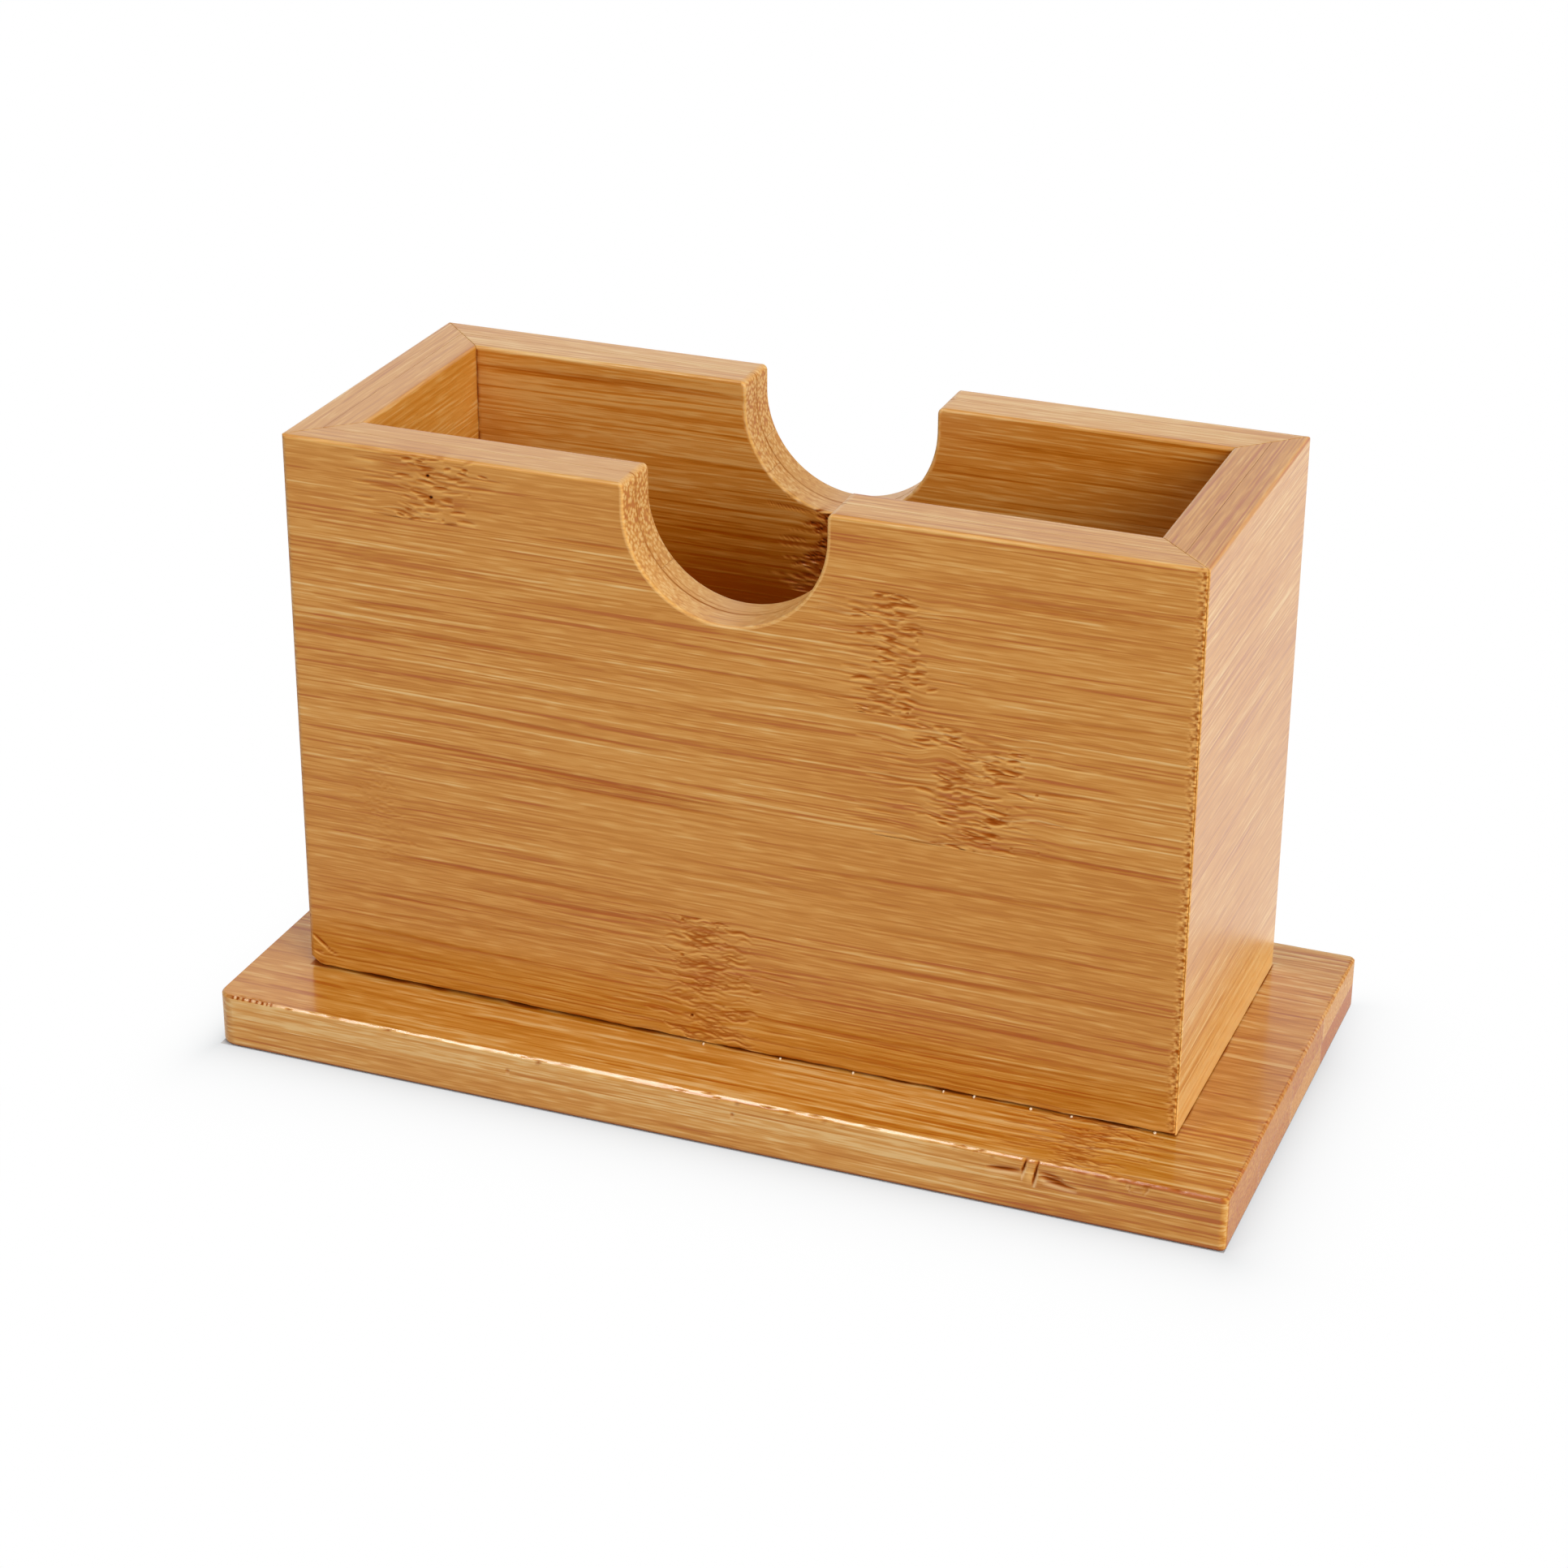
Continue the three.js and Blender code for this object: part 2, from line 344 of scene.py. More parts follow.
def knuckle_grooves(width, shape, seed):
    """Seeded grooves of a bamboo knuckle over a strip's width: short ones, long fine ones, and pricks."""
    place, spread, half, depth, wave = shape
    rng = np.random.default_rng(seed)
    count = int(width * 6.5)
    row = (np.arange(count) + rng.uniform(0, 1, count)) * width / count
    short = [
        place + spread * rng.normal(0, 0.5, count) + 0.8 * np.sin(row / width * 5 + seed), row,
        half * rng.uniform(0.4, 1.4, count), rng.uniform(0.12, 0.25, count), rng.normal(-0.02, 0.11, count),
        depth * rng.uniform(0.4, 1.1, count), np.full(count, wave),
    ]
    few = count // 3
    aside = rng.choice([-1, -1, 1], few)
    fine = [
        place + aside * spread * rng.uniform(0.6, 2.0, few), rng.uniform(0, width, few),
        rng.uniform(2, 5, few), rng.uniform(0.1, 0.2, few), rng.normal(0, 0.03, few),
        depth * rng.uniform(0.3, 0.7, few), np.zeros(few),
    ]
    dots = count // 8
    pricks = [
        place + spread * rng.normal(0.5, 0.5, dots), rng.uniform(0, width, dots), np.full(dots, 0.3),
        np.full(dots, 0.2), np.zeros(dots), depth * rng.uniform(0.3, 0.9, dots), np.zeros(dots),
    ]
    return np.concatenate([np.array(short).T, np.array(fine).T, np.array(pricks).T])


def torn_grooves(edge, band, low, high, pitch, seed):
    """Seeded pits where a saw tore the fibres beside an edge that runs from low to high across the grain.

    They lie within a band of the edge, a pitch apart.
    """
    rng = np.random.default_rng(seed)
    count = int((high - low) / pitch)
    row = low + (np.arange(count) + rng.uniform(0.2, 0.8, count)) * (high - low) / count
    return np.array([
        edge - np.sign(edge) * band * rng.uniform(0, 1, count) ** 1.5, row,
        rng.uniform(0.3, 0.8, count), rng.uniform(0.1, 0.2, count), rng.normal(0, 0.1, count),
        rng.uniform(0.3, 0.7, count), np.zeros(count),
    ]).T


def strip_seed(node):
    """A number for each strip, from its place among the nodes."""
    return 11 + 7 * NODES.index(node)


def knuckle_spots(node):
    """Where along a strip the grid is fine for its knuckle: a (place, reach) spot in a list, or none."""
    if node not in KNUCKLES:
        return []
    place, spread = KNUCKLES[node][:2]
    return [(place, KNUCKLE_REACH * spread)]


def lift_to(marks, label, amount):
    """Raises a mark to an amount wherever it is less."""
    marks[label] = np.maximum(marks[label], amount)


def surface_marks(node, along, across, foot, width, depth, torn):
    """Knuckle, pin holes, streaks, seams and torn grooves on a strip's own face, and its fibre coordinates.

    along, across and depth are the strip's fibre directions in mm, and foot is what across is counted from
    on the whole board. What lies on the face fades with depth. The first result is how far the face stands
    out, and the second holds the amounts that the finish reads.
    """
    seed = strip_seed(node)
    grooves = [torn]
    swerve, tone = np.zeros_like(along), np.full_like(along, TONES.get(node, 0))
    if node in KNUCKLES:
        place, spread, _, strength, _ = KNUCKLES[node]
        grooves.append(knuckle_grooves(width, KNUCKLES[node], seed))
        close = bell(along - place, 1.3 * spread)
        swerve = 0.45 * strength * close * ripple(along * 0.45, across * 0.5, seed)
        tone = tone + 0.10 * strength * close * (ripple(along * 0.5, across * 0.9, seed + 1) - 0.5)
    grooves += [np.array([(u, z - foot, *rest, 0)]) for u, z, *rest in PITS.get(node, [])]
    deep, lip = lens_grooves(along, across, np.concatenate(grooves))
    streaks = [(u, z - foot, *rest, 0.03) for u, z, *rest in STREAKS.get(node, [])]
    streak, _ = lens_grooves(along, across, streaks)
    shown = np.clip(ripple(along * 0.07, 0, seed + 2), 0, 1)
    seam = bell(np.minimum(across, width - across), 0.3) * shown
    fade = np.exp(-depth / FACE_FADE)
    tone = tone - 0.35 * fade * (streak + seam)
    deep = np.maximum(deep, 0.35 * streak)
    shift = np.random.default_rng(seed).uniform(-300, 300, 3)
    fibre = np.stack([along, across + swerve * fade, depth], -1) + shift
    # The lips are real relief, and their golden tint is a painted highlight on their lit side
    golden = fade * lip * (1 - np.clip(1.5 * deep, 0, 1))
    marks = {
        "fibre": fibre, "tone": tone, "groove": deep * fade, "worn": golden, "pale": np.zeros_like(deep),
    }
    return LIP_HEIGHT * lip - GROOVE_DEPTH * deep, marks


# Pieces


def make_piece(name, points, quads, grain, marks, finish):
    """A closed mesh from points and quads, with its marks as point attributes.

    One more, cut, is how squarely the surface crosses the grain, 0 to 1.
    """
    mesh = bpy.data.meshes.new(name)
    mesh.vertices.add(len(points))
    mesh.vertices.foreach_set("co", (points * MM).astype(np.float32).ravel())
    mesh.loops.add(quads.size)
    mesh.loops.foreach_set("vertex_index", quads.astype(np.int32).ravel())
    mesh.polygons.add(len(quads))
    mesh.polygons.foreach_set("loop_start", np.arange(0, quads.size, 4, dtype=np.int32))
    mesh.polygons.foreach_set("use_smooth", np.ones(len(quads), dtype=bool))
    mesh.update(calc_edges=True)
    mesh.set_sharp_from_angle(angle=math.radians(40))
    normals = np.empty(len(points) * 3, dtype=np.float32)
    mesh.vertex_normals.foreach_get("vector", normals)
    marks["cut"] = np.abs(normals.reshape(-1, 3) @ np.array(grain))
    for label, values in marks.items():
        kind, field = ("FLOAT_VECTOR", "vector") if values.ndim == 2 else ("FLOAT", "value")
        layer = mesh.attributes.new(label, kind, "POINT")
        layer.data.foreach_set(field, values.astype(np.float32).ravel())
    mesh.materials.append(finish)
    piece = put_in_scene(name, mesh)
    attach(piece, "root")
    return piece


def wall_place(node, wall):
    """What a wall's strip is and where it lies: depths under the wall's outside, heights above its foot."""
    middle, along_dir, inward, length = WALLS[wall]
    low, high = np.array(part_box(node)) / MM
    sides = np.array([low, high])[:, :2] - middle
    near, far = np.sort(sides @ np.array(inward)).round(3)
    top = high[2] - wall_low[2]
    outer = near < 1
    return SimpleNamespace(
        node=node, wall=wall, near=near, far=far, bottom=low[2] - wall_low[2], top=top, half=length / 2,
        seed=strip_seed(node), outer=outer, rim="rim_strip" in node, close=wall == "front" and outer,
        left=(sides @ np.array(along_dir)).mean() < 0,
        notched=wall in ("front", "back") and top > notch_middle - NOTCH_RADIUS,
    )


def wall_grid(strip):
    """Grid lines of a wall's strip along it, into the wood and up it, close at its marks and curves.

    The lines along a strip that the notch cuts in two are shares of its length, 0 to 1.
    """
    half, height = strip.half, strip.top - strip.bottom
    knots = knuckle_spots(strip.node)
    spots = [(-half, 2), (half, 2), *knots]
    coarse, fine, rise = (1.2, 0.25, 0.2) if strip.close else (3.0, 0.4, 0.4 if knots else 0.8)
    depth_lines = ply_lines(strip.near, strip.far, board_thickness, RIM_ROUND, WALL_PLY_LINE)
    crest = [(1, 0.16)] if strip.rim else []
    up_lines = graded_lines(0, 1, rise / height, 0.15 / height, crest)
    if strip.rim and strip.notched:
        start, stop = (-half, -NOTCH_RADIUS) if strip.left else (NOTCH_RADIUS, half)
        along_lines = graded_lines(start, stop, coarse, fine, [*spots, (start, 3), (stop, 3)])
        return (along_lines - start) / (stop - start), depth_lines, up_lines
    arch = [(0, NOTCH_RADIUS + 1.5)] if strip.notched else []
    return graded_lines(-half, half, coarse, fine, spots + arch), depth_lines, up_lines


def wall_wear(strip, marks, u, w, z, skin, crest):
    """Marks of sawing and use away from the notch, at points u along, w into the wood and z up.

    A golden line runs along the front's crest and a painted highlight along the inner edge of two rims. The
    saw has broken the fibres at the front's right corner, and the right end's foot has painted light, paler
    and warmer, standing for light thrown up off the base's glossy top.
    """
    half, seed = strip.half, strip.seed
    if strip.rim:
        marks["tone"] += (RIM_TONES[strip.wall] - TONES.get(strip.node, 0)) * crest
    if strip.rim and strip.close:
        golden = crest * bell(w - 0.2, 0.2) * (0.6 + 0.4 * ripple(u * 0.4, 0, seed))
        marks["worn"] += 0.3 * golden
    if strip.rim and not strip.outer and strip.wall in ("front", "right_end"):
        # Painted highlight: a pale line along the rim's inner edge
        lift_to(marks, "pale", 0.8 * crest * bell(board_thickness - w - 0.15, 0.2))
    if strip.node == "right_end_outer_strip_4":
        # Painted light thrown up off the base's glossy top: the right end's foot is paler and warmer
        warm = slope(z, PAINTED_BOUNCE_HEIGHT, 0) ** 2
        marks["worn"] += 0.8 * warm * (0.75 + 0.25 * ripple(u * 0.05, z * 3, seed))
        marks["tone"] += 0.4 * warm
    if strip.wall == "right_end" and strip.outer:
        mitre = bell(half + u - w, 0.5) * (0.5 + 0.5 * ripple(z * 4, 0, seed))
        marks["worn"] += 0.4 * mitre
    if strip.close:
        band = bell(half - 0.6 - u, 0.7 + 0.2 * ripple(z * 0.4, 0, 16)) * (skin < RIM_ROUND)
        spots = ripple(u * 5.5, z * 7.5, 17, 12)
        marks["worn"] += band * np.clip(0.5 - spots, 0, 1)
        lift_to(marks, "groove", band * np.clip(1.3 * spots, 0, 0.9))


def notch_wear(strip, marks, u, w, skin, run, on_cut):
    """Marks on the notch's cut: golden and pale fibre ends on its edges, a glue line and a saw line.

    run is how far a point lies along the cut, and on_cut says which points lie on it.
    """
    bead = 0.5 + 0.5 * np.sin(2 * np.pi * run / NOTCH_BEADS + 2 * ripple(run, 0, strip.seed + 4))
    arris = bell(skin - 0.1, 0.15) * (0.3 + 0.7 * np.abs(u) / NOTCH_RADIUS)
    golden = arris * (0.1 + (0.9 if strip.wall == "back" else 0.65) * bead)
    marks["worn"] += on_cut * golden
    marks["tone"] = np.where(on_cut, NOTCH_TONE, marks["tone"])
    fuzz = bell(board_thickness - w, 0.3) * np.clip(ripple(run * 2.4, 0, strip.seed + 6), 0, 1)
    marks["pale"] = np.clip(marks["pale"] + on_cut * (fuzz + 0.2), 0, 1)
    past_glue = w - board_thickness / 2
    lines = bell(past_glue, 0.2) + 0.6 * bell(past_glue - SAW_LINE, 0.12)
    uneven = np.clip(0.9 + 0.5 * ripple(run * 0.2, 0, 5), 0, 1.2)
    lift_to(marks, "groove", on_cut * lines * uneven)


def inside_wear(strip, marks, u, z, face):
    """Marks on a wall's inside: painted shade, redder and darker lower down, and a torn line in the
    corners.
    """
    # Painted shade: the shade mark reddens the inside, and the tone darkens it lower down
    marks["shade"] = face * INSIDE_SHADE[strip.wall]
    painted_depth_shade = 0.15 * (strip.wall == "left_end") - 0.35 * slope(z, 70, 20)
    if strip.wall == "back":
        painted_depth_shade = 0.35 * slope(z, 52, 22) - 0.8 * slope(z, 75, 55)
    marks["tone"] += painted_depth_shade * face
    # Painted shade: the dark groove tint deep inside the box
    lift_to(marks, "groove", face * 0.5 * slope(z, 66, 52))
    corner = bell(strip.half - board_thickness - np.abs(u), 0.3)
    broken = np.clip(0.7 + 0.5 * ripple(z * 1.5, 0, strip.seed + 7), 0, 1)
    lift_to(marks, "groove", face * corner * broken)


def chipped_foot(strip, marks, u, z, skin):
    """Heights of the foot of the front or the left end, with its marks. The two share a chipped corner.

    The front's foot is also uneven, with a broken dark edge of painted shade over its gap above the base,
    pale torn fibres at the right, and a narrow remainder of the next strip under a seam of its own.
    """
    front = strip.wall == "front"
    corner = strip.half + (u if front else -u)
    lift = CHIP * bell(corner, 1.5)
    if front:
        seam = FOOT_SEAM * slope(u, 64, 24) ** 0.7
        lift_to(marks, "groove", 0.7 * bell(z - seam, 0.14) * (seam > 0.3) * (skin < 0.5))
        marks["tone"] += 0.08 * (z < seam)
        uneven = 0.22 + 0.12 * ripple(u * 0.12, 0, strip.seed + 5) + 0.07 * ripple(u, 0, strip.seed + 6)
        lift = lift + np.clip(uneven + 0.2 * bell(u + 40, 22), 0, None)
    z = z + lift * slope(z, 5, 0)
    if front:
        # Painted shade: a broken dark line at the foot, over its gap above the base
        broken = np.clip(0.5 + 0.9 * ripple(u * 0.5, 0, 15), 0, 1.15)
        lift_to(marks, "groove", broken * bell(z - lift, 0.2))
        lift_to(marks, "worn", 0.7 * slope(u, 62, 68) * bell(z - lift - 0.6, 0.3))
    lift_to(marks, "groove", 0.6 * bell(corner - 2.2, 0.8) * bell(z - 0.8, 0.5))
    return z


def wall_strip(node, wall, finish):
    """One bamboo strip of a wall: a lattice block between its mitres, its ply's two faces and its seams.

    A point goes along the board by i, into the wood by j and up by k. The ends are the mitre planes with a
    rounded upright corner, the rim is stepped back by its rounded edges, and a strip that the finger notch
    cuts ends at the notch or has the notch's arc as its top.
    """
    middle, along_dir, inward, _ = WALLS[wall]
    strip = wall_place(node, wall)
    half, bottom, top = strip.half, strip.bottom, strip.top
    cut_in_two = strip.rim and strip.notched
    along_lines, depth_lines, up_lines = wall_grid(strip)
    i, j, k, quads = lattice_skin(len(along_lines), len(depth_lines), len(up_lines))
    rough, w, share = along_lines[i], depth_lines[j], up_lines[k]
    crest = k == len(up_lines) - 1
    face = j == 0 if strip.outer else j == len(depth_lines) - 1

    skin = np.minimum(w, board_thickness - w)
    nick = ease(skin, NOTCH_ROUND)
    towards = (-1 if strip.left else 1) if cut_in_two else np.sign(rough)
    corner_round = np.where(along_dir[0] * towards - inward[0] < 0, *CORNER_ROUND)
    end = half - MITRE_LINE - np.maximum(w, ease(w, corner_round))
    crown = wall_height - ease(skin, RIM_ROUND) if strip.rim else np.full_like(w, top)
    on_cut = np.zeros(len(w), dtype=bool)
    if cut_in_two:
        z = bottom + (crown - bottom) * share
        cut = notch_reach(z, nick)
        u = np.where(strip.left, -end + (end - cut) * rough, cut + (end - cut) * rough)
        on_cut = i == (len(along_lines) - 1 if strip.left else 0)
        run = z
    elif strip.notched:
        radius = NOTCH_RADIUS + nick
        chord = np.sqrt(radius**2 - (notch_middle - crown) ** 2)
        plain = math.sqrt(NOTCH_RADIUS**2 - (notch_middle - top) ** 2)
        outside = chord + (np.abs(rough) - plain) * (end - chord) / (half - plain)
        u = np.where(np.abs(rough) < plain, rough * chord / plain, np.sign(rough) * outside)
        arc = notch_middle - np.sqrt(np.clip(radius**2 - u**2, 0, None))
        crown = np.where(np.abs(u) < chord, np.minimum(crown, arc), crown)
        z = bottom + (crown - bottom) * share
        on_cut = crest & (np.abs(u) < chord)
        run = NOTCH_RADIUS * np.arcsin(np.clip(u / NOTCH_RADIUS, -1, 1))
    else:
        u = rough * end / half
        z = bottom + (crown - bottom) * share
        run = u

    torn = np.zeros((0, 7))
    if strip.close and not (strip.rim and strip.left):
        torn = torn_grooves(half - 0.4, 1.0, 0, top - bottom, 0.3, strip.seed + 3)
    relief, marks = surface_marks(node, u, z - bottom, bottom, top - bottom, skin, torn)
    w = w + np.where(face, -relief if strip.outer else relief, 0)
    wall_wear(strip, marks, u, w, z, skin, crest)
    notch_wear(strip, marks, u, w, skin, run, on_cut)
    marks["worn"] = np.clip(marks["worn"], 0, 1)
    if not strip.outer:
        inside_wear(strip, marks, u, z, face)
    if strip.outer and bottom < 1 and wall in ("front", "left_end"):
        z = chipped_foot(strip, marks, u, z, skin)

    plan = np.array(middle) + u[:, None] * np.array(along_dir) + w[:, None] * np.array(inward)
    points = np.column_stack([plan, z + wall_low[2]])
    return make_piece(node, points, quads, (*along_dir, 0), marks, finish)


def base_grid(node, low, high, upper, first, last):
    """Grid lines of a base strip along it, back across it (as shares) and up it.

    They are close at its edges and marks and, on the upper ply, where the walls stand.
    """
    half, width, thickness = base_half[0], high[1] - low[1], 2 * base_half[2]
    knots = knuckle_spots(node)
    spots = [(-half, 2), (half, 3), *knots]
    edges = [(0, 0.1)] * int(first) + [(1, 0.1)] * int(last)
    coarse, fine, across, eased = 3.0, 0.4, 0.8, BASE_FOOT_ROUND
    if upper:
        coarse, fine, across, eased = 0.8 if first else 2.0, 0.25, 0.25 if knots else 0.4, BASE_ROUND
        spots += [(wall_low[0], 1), (wall_high[0], 1)]
        edges += [((side - low[1]) / width, 0.03) for side in (wall_low[1], wall_high[1])]
    if upper and first:
        spots += [(-half, DASHED_LENGTH + 3), *CRACK_SPOTS]
    along_lines = graded_lines(-half, half, coarse, fine, spots)
    back_lines = graded_lines(0, 1, across / width, 0.18 / width, edges)
    up_lines = ply_lines(0, high[2] - low[2], thickness, eased, BASE_PLY_LINE)
    if upper:
        up_lines = (thickness - up_lines)[::-1]
    if upper and first:
        cracked = np.arange(4.9, 8.3, 0.25)
        up_lines = np.concatenate([up_lines[:1], cracked, up_lines[up_lines > 8.35]])
    return along_lines, back_lines, up_lines


def base_top_wear(marks, x, y, skin, face):
    """Marks on the base's top: pale fibre ends at the right, and painted shade under the walls and inside.
    """
    bead = 0.5 + 0.5 * np.sin(2 * np.pi * y / BASE_BEADS + 2 * ripple(y, 0, 9))
    lift_to(marks, "pale", bell(skin, 0.4) * bell(x - base_half[0], 0.5) * bell(y - 13, 13) * bead)
    under = np.minimum(
        np.minimum(x - wall_low[0], wall_high[0] - x), np.minimum(y - wall_low[1], wall_high[1] - y)
    )
    broken = ripple((x + y) * 0.5, 0, 15)
    # Painted shade in the thin gap under the walls' foot
    painted_gap_shade = slope(under + 0.12 * broken, -0.2, 0.1) * (under < 3) * face
    lift_to(marks, "groove", np.clip(0.8 + 0.6 * broken, 0.3, 1.15) * painted_gap_shade)
    # Painted shade on the base's top inside the box
    marks["tone"] -= 0.3 * face * slope(under - board_thickness, -1, 1)


def base_front_side(marks, x, y, z, skin, side, upper):
    """How far back the base's front side lies, with its marks. side says which points lie on it.

    It has painted light at the left corner, whose rounding faces away from the lamps, and is darker at the
    right. The upper ply has the cracks and the golden core of a knot, pin holes, and dashes along its edge
    at the left.
    """
    from_left = x + base_half[0]
    # Painted light on the rounded left corner
    tone = 0.3 * bell(from_left, 2.5)
    darker = slope(x, 35, 55)
    if upper:
        cracks, lips = lens_grooves(x, z, [(*crack, 0) for crack in EDGE_CRACKS])
        pits = np.clip(1.2 * ripple(x * 2.2, z * 6, 14) - 1.2, 0, 0.8) * (skin < 0.6)
        cracks = np.maximum(cracks, pits)
        dash = 0.3 + np.clip(1.3 * np.sin(2 * np.pi * x / DASHES + 2 * ripple(x, 0, 12)), 0, 0.8)
        dash = dash * (skin < 0.4) * slope(from_left, DASHED_LENGTH + 0.5, DASHED_LENGTH - 1)
        marks["groove"] = np.where(side, np.maximum(cracks, dash), marks["groove"])
        marks["pale"] = np.where(side, 0.6 * lips, marks["pale"])
        aside, above = x - KNOT[0], z - KNOT[1]
        lift_to(marks, "worn", 0.7 * bell(aside, 0.6) * bell(above, 1.6) * side)
        tone = tone + 0.25 - 0.5 * darker + 0.2 * bell(aside, 6) * bell(above, 1.2)
        y = y + CRACK_DEPTH * cracks * side
    else:
        tone = tone + 0.1 - 0.16 * darker
    marks["tone"] += tone * side
    return y


def base_strip(node, finish):
    """One bamboo strip of the base: a lattice block along X between the board's rounded ends.

    A point goes along by i, back by j and up by k. The ends follow the base's outline, whose corners are
    quarter circles. The outline steps back towards the top and the underside by the eased edges, of which
    the upper one is widest near its middle.
    """
    low, high = np.array(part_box(node)) / MM
    half, width, thickness = base_half[0], high[1] - low[1], 2 * base_half[2]
    upper = low[2] > 1
    first, last = low[1] < base_low[1] + 0.01, high[1] > base_high[1] - 0.01
    along_lines, back_lines, up_lines = base_grid(node, low, high, upper, first, last)
    i, j, k, quads = lattice_skin(len(along_lines), len(back_lines), len(up_lines))
    rough, z = along_lines[i], up_lines[k]
    face = k == len(up_lines) - 1 if upper else k == 0

    bevel = BASE_ROUND * (0.7 + 0.3 * bell(rough + 3, 32) + 0.04 * ripple(rough * 0.6, 0, 8))
    step = ease(thickness - z, bevel, BASE_FLAT) + ease(z, BASE_FOOT_ROUND)
    front = low[1] + step * first
    y = front + (high[1] - step * last - front) * back_lines[j]
    corner = np.where(rough < 0, *BASE_CORNERS)
    lip = corner - step
    beside = np.clip(np.abs(y - base_middle[1]) - (base_half[1] - corner), 0, lip)
    x = rough * (half - corner + np.sqrt(lip**2 - beside**2)) / half

    seed = strip_seed(node)
    skin = np.minimum(z, thickness - z)
    torn = np.zeros((0, 7))
    if upper:
        torn = torn_grooves(half, 0.6, 0, width, 0.8, seed + 3)
    if upper and first:
        torn = np.concatenate([torn, torn_grooves(-half, DASHED_LENGTH, 0.3, 0.9, 0.04, seed + 4)])
    relief, marks = surface_marks(node, x, y - low[1], 0, width, skin, torn)
    sawn = ((i == 0) | (i == len(along_lines) - 1)) & (beside < 0.4 * lip)
    marks["tone"] += END_TONES[node] * sawn * np.where(x > 0, 1, 0.5)
    # Painted contact shadow: the underside's eased edge darkens to near black at the floor
    lift_to(marks, "groove", 1.6 * slope(z, 0.7, 0))
    if upper:
        base_top_wear(marks, x, y, skin, face)
    if first:
        y = base_front_side(marks, x, y, z, skin, j == 0, upper)
    z = z + np.where(face, relief if upper else -relief, 0)
    points = np.column_stack([x + base_middle[0], y, z + base_low[2]])
    return make_piece(node, points, quads, (1, 0, 0), marks, finish)


def glue_specks(finish):
    """Dried glue squeezed out at the front's foot: flattened balls, each a grid of turn and tilt angles.

    A ball's points are (cos turn cos tilt, sin turn cos tilt, sin tilt) times its three half sizes.
    """
    rng = np.random.default_rng(3)
    turn, tilt = np.meshgrid(np.linspace(0, 2 * np.pi, 13)[:-1], np.linspace(-1.5, 1.5, 9), indexing="ij")
    around = np.cos(tilt)
    ball = np.stack([np.cos(turn) * around, np.sin(turn) * around, np.sin(tilt)], -1).reshape(-1, 3)
    ids = np.arange(len(ball)).reshape(turn.shape)
    ring = np.roll(ids, -1, axis=0)
    quads = np.stack([ids[:, :-1], ring[:, :-1], ring[:, 1:], ids[:, 1:]], -1).reshape(-1, 4)
    caps = np.array([ids[::-1, 0], ids[:, -1]])
    sizes = rng.uniform(0.6, 1.2, (len(GLUE_SPECKS), 3)) * (0.2, 0.4, 0.2)
    places = np.column_stack([
        GLUE_SPECKS, wall_low[1] - rng.uniform(0.1, 0.5, len(GLUE_SPECKS)),
        np.full(len(GLUE_SPECKS), base_high[2] + 0.12),
    ])
    points = (ball[None] * sizes[:, None] + places[:, None]).reshape(-1, 3)
    first_ids = np.arange(len(GLUE_SPECKS))[:, None, None] * len(ball)
    faces = []
    for part in (quads, caps):
        faces += (part + first_ids).reshape(-1, part.shape[1]).tolist()
    mesh = bpy.data.meshes.new("glue_specks")
    mesh.from_pydata((points * MM).tolist(), [], faces)
    mesh.polygons.foreach_set("use_smooth", np.ones(len(faces), dtype=bool))
    mesh.materials.append(finish)
    specks = put_in_scene("glue_specks", mesh)
    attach(specks, "root")


# Finishes


def linear(hex_colour):
    """A hex sRGB colour as linear red, green, blue and alpha."""
    parts = np.array([int(hex_colour[n : n + 2], 16) for n in (1, 3, 5)]) / 255
    straight = np.where(parts <= 0.04045, parts / 12.92, ((parts + 0.055) / 1.055) ** 2.4)
    return (*straight.tolist(), 1.0)


def add(tree, kind, inputs=None, **settings):
    """Adds a node, gives it its settings and fills its inputs: a socket is linked, the rest are values."""
    made = tree.nodes.new(kind)
    for key, value in settings.items():
        setattr(made, key, value)
    for key, value in (inputs or {}).items():
        if isinstance(value, bpy.types.NodeSocket):
            tree.links.new(value, made.inputs[key])
        else:
            made.inputs[key].default_value = value
    return made


def weighted_sum(tree, total, parts, clamped=False):
    """A total plus each layer times its weight, for (layer, weight) parts."""
    for layer, weight in parts:
        total = add(
            tree, "ShaderNodeMath", {0: layer, 1: weight, 2: total}, operation="MULTIPLY_ADD",
            use_clamp=clamped,
        ).outputs[0]
    return total


def new_finish(name):
    """A material with an empty node tree, and that tree."""
    finish = bpy.data.materials.new(name)
    finish.use_nodes = True
    finish.node_tree.nodes.clear()
    return finish, finish.node_tree


